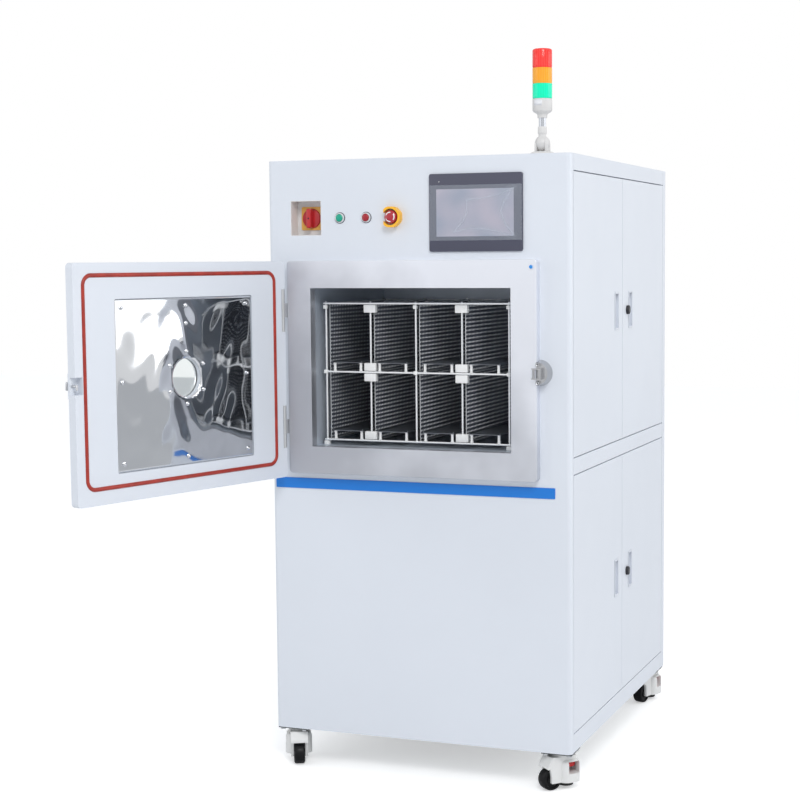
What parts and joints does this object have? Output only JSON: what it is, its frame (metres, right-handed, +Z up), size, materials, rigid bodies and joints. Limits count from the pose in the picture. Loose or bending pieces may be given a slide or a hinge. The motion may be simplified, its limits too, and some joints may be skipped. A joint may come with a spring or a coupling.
{
  "type": "plasma_cleaner",
  "caption": "Floor-standing vacuum plasma cleaner: cabinet on levelling casters, chamber with hinged window door, electrode rack, touch screen, switch and signal tower.",
  "frame": {"origin": "on the floor, under the centre of the cabinet's footprint", "axes": "+X to the right seen from the front, -Y out of the front, +Z up"},
  "size_m": [1.0999, 1.8959, 2.038],
  "materials": {
    "cabinet_paint": "fine satin powder coat",
    "frame_paint": "satin paint",
    "stripe_paint": "gloss paint",
    "chamber_aluminium": "machined",
    "flange_metal": "fine satin",
    "hinge_steel": "turned and milled",
    "polished_steel": "polished",
    "seal_rubber": "matt silicone cord",
    "clear_glass": "clear",
    "screen_plastic": "fine texture",
    "display_glass": "glossy film",
    "pocket_plastic": "moulded",
    "knob_red": "moulded",
    "collar_metal": "plated",
    "start_green": "moulded",
    "stop_red": "moulded",
    "emergency_red": "moulded",
    "tower_plastic": "moulded",
    "lens_green": "clear moulded",
    "lens_amber": "clear moulded",
    "lens_red": "clear moulded",
    "rack_steel": "electropolished",
    "insulator_white": "fluoropolymer",
    "lock_black": "moulded over steel",
    "pump_paint": "satin paint",
    "line_steel": "drawn tube",
    "generator_paint": "fine texture",
    "plate_zinc": "zinc plated",
    "caster_white": "moulded nylon",
    "wheel_black": "moulded nylon",
    "foot_black": "matt"
  },
  "bodies": {
    "root": {"cabinet_frame": "frame_paint", "front_panel": "cabinet_paint", "left_panel": "cabinet_paint", "right_panel": "cabinet_paint", "rear_panel": "cabinet_paint", "top_panel": "cabinet_paint", "stripe_bar": "stripe_paint", "vacuum_chamber": "chamber_aluminium", "chamber_flange": "flange_metal", "door_strike": "flange_metal", "hinge_brackets": "hinge_steel", "touch_screen": "screen_plastic", "screen_glass": "display_glass", "switch_pocket": "pocket_plastic", "button_collars": "collar_metal", "tower_foot": "tower_plastic", "vacuum_pump": "pump_paint", "vacuum_line": "line_steel", "rf_generator": "generator_paint", "matching_box": "generator_paint", "electrical_panel": "plate_zinc", "gas_panel": "line_steel", "caster_plates": "plate_zinc"},
    "chamber_door": {"door_shell": "flange_metal", "door_hinge_leaves": "hinge_steel", "door_seal": "seal_rubber", "door_mirror_plate": "polished_steel", "window_glass": "clear_glass", "window_ring": "polished_steel"},
    "door_latch": {"latch_handle": "hinge_steel"},
    "rack": {"rack_frame": "rack_steel", "rack_insulators": "insulator_white", "electrode_plates": "rack_steel", "rack_trays": "rack_steel"},
    "upper_front_leaf": {"upper_front_door": "cabinet_paint"},
    "upper_rear_leaf": {"upper_rear_door": "cabinet_paint"},
    "lower_front_leaf": {"lower_front_door": "cabinet_paint"},
    "lower_rear_leaf": {"lower_rear_door": "cabinet_paint"},
    "upper_lock_cam": {"upper_lock": "lock_black"},
    "lower_lock_cam": {"lower_lock": "lock_black"},
    "main_switch": {"switch_knob": "knob_red"},
    "start": {"start_button": "start_green"},
    "stop": {"stop_button": "stop_red"},
    "emergency": {"emergency_stop": "emergency_red"},
    "tower": {"tower_stem": "tower_plastic", "green_lens": "lens_green", "amber_lens": "lens_amber", "red_lens": "lens_red"},
    "front_left_caster": {"front_left_caster_housing": "caster_white"},
    "front_left_wheel": {"front_left_caster_wheel": "wheel_black"},
    "front_left_foot": {"front_left_caster_foot": "foot_black"},
    "front_right_caster": {"front_right_caster_housing": "caster_white"},
    "front_right_wheel": {"front_right_caster_wheel": "wheel_black"},
    "front_right_foot": {"front_right_caster_foot": "foot_black"},
    "rear_left_caster": {"rear_left_caster_housing": "caster_white"},
    "rear_left_wheel": {"rear_left_caster_wheel": "wheel_black"},
    "rear_left_foot": {"rear_left_caster_foot": "foot_black"},
    "rear_right_caster": {"rear_right_caster_housing": "caster_white"},
    "rear_right_wheel": {"rear_right_caster_wheel": "wheel_black"},
    "rear_right_foot": {"rear_right_caster_foot": "foot_black"}
  },
  "joints": [
    {"name": "chamber_door_hinge", "type": "hinge", "parent": "root", "child": "chamber_door", "pos_m": [-0.389, -0.592, 1.164], "axis": [0, 0, -1], "range_deg": [-106.9, 13.1]},
    {"name": "latch_turn", "type": "hinge", "parent": "chamber_door", "child": "door_latch", "pos_m": [-0.60848, -1.31439, 1.164], "axis": [0.9568, -0.2907, 0], "range_deg": [0, 90]},
    {"name": "rack_slide", "type": "slide", "parent": "root", "child": "rack", "axis": [0, -1, 0], "range_m": [0, 0.4]},
    {"name": "upper_front_leaf_hinge", "type": "hinge", "parent": "root", "child": "upper_front_leaf", "pos_m": [0.444, -0.518, 1.32], "axis": [0, 0, -1], "range_deg": [0, 110]},
    {"name": "upper_rear_leaf_hinge", "type": "hinge", "parent": "root", "child": "upper_rear_leaf", "pos_m": [0.444, 0.502, 1.32], "axis": [0, 0, 1], "range_deg": [0, 110]},
    {"name": "lower_front_leaf_hinge", "type": "hinge", "parent": "root", "child": "lower_front_leaf", "pos_m": [0.444, -0.518, 0.52], "axis": [0, 0, -1], "range_deg": [0, 110]},
    {"name": "lower_rear_leaf_hinge", "type": "hinge", "parent": "root", "child": "lower_rear_leaf", "pos_m": [0.444, 0.502, 0.52], "axis": [0, 0, 1], "range_deg": [0, 110]},
    {"name": "upper_lock_turn", "type": "hinge", "parent": "upper_rear_leaf", "child": "upper_lock_cam", "pos_m": [0.45, 0.049, 1.318], "axis": [1, 0, 0], "range_deg": [0, 90]},
    {"name": "lower_lock_turn", "type": "hinge", "parent": "lower_rear_leaf", "child": "lower_lock_cam", "pos_m": [0.45, 0.049, 0.52], "axis": [1, 0, 0], "range_deg": [0, 90]},
    {"name": "main_switch_turn", "type": "hinge", "parent": "root", "child": "main_switch", "pos_m": [-0.3315, -0.52, 1.59225], "axis": [0, -1, 0], "range_deg": [0, 90]},
    {"name": "start_push", "type": "slide", "parent": "root", "child": "start", "axis": [0, 1, 0], "range_m": [0, 0.003], "stiffness_N_per_m": 400},
    {"name": "stop_push", "type": "slide", "parent": "root", "child": "stop", "axis": [0, 1, 0], "range_m": [0, 0.003], "stiffness_N_per_m": 400},
    {"name": "emergency_push", "type": "slide", "parent": "root", "child": "emergency", "axis": [0, 1, 0], "range_m": [0, 0.004]},
    {"name": "tower_fold", "type": "hinge", "parent": "root", "child": "tower", "pos_m": [0.352, -0.49, 1.785], "axis": [-1, 0, 0], "range_deg": [0, 90]},
    {"name": "front_left_swivel", "type": "hinge", "parent": "root", "child": "front_left_caster", "pos_m": [-0.404, -0.498, 0.09], "axis": [0, 0, 1], "continuous": true},
    {"name": "front_left_roll", "type": "hinge", "parent": "front_left_caster", "child": "front_left_wheel", "pos_m": [-0.38749, -0.52999, 0.0315], "axis": [0.8886, 0.4587, 0], "continuous": true},
    {"name": "front_left_foot_screw", "type": "slide", "parent": "front_left_caster", "child": "front_left_foot", "axis": [0, 0, -1], "range_m": [-0.003, 0.008]},
    {"name": "front_right_swivel", "type": "hinge", "parent": "root", "child": "front_right_caster", "pos_m": [0.404, -0.498, 0.09], "axis": [0, 0, 1], "continuous": true},
    {"name": "front_right_roll", "type": "hinge", "parent": "front_right_caster", "child": "front_right_wheel", "pos_m": [0.38024, -0.52505, 0.0315], "axis": [0.7513, -0.66, 0], "continuous": true},
    {"name": "front_right_foot_screw", "type": "slide", "parent": "front_right_caster", "child": "front_right_foot", "axis": [0, 0, -1], "range_m": [-0.003, 0.008]},
    {"name": "rear_left_swivel", "type": "hinge", "parent": "root", "child": "rear_left_caster", "pos_m": [-0.404, 0.498, 0.09], "axis": [0, 0, 1], "continuous": true},
    {"name": "rear_left_roll", "type": "hinge", "parent": "rear_left_caster", "child": "rear_left_wheel", "pos_m": [-0.39468, 0.53277, 0.0315], "axis": [-0.9659, 0.2588, 0], "continuous": true},
    {"name": "rear_left_foot_screw", "type": "slide", "parent": "rear_left_caster", "child": "rear_left_foot", "axis": [0, 0, -1], "range_m": [-0.003, 0.008]},
    {"name": "rear_right_swivel", "type": "hinge", "parent": "root", "child": "rear_right_caster", "pos_m": [0.404, 0.498, 0.09], "axis": [0, 0, 1], "continuous": true},
    {"name": "rear_right_roll", "type": "hinge", "parent": "rear_right_caster", "child": "rear_right_wheel", "pos_m": [0.39468, 0.46323, 0.0315], "axis": [0.9659, -0.2588, 0], "continuous": true},
    {"name": "rear_right_foot_screw", "type": "slide", "parent": "rear_right_caster", "child": "rear_right_foot", "axis": [0, 0, -1], "range_m": [-0.003, 0.008]}
  ]
}
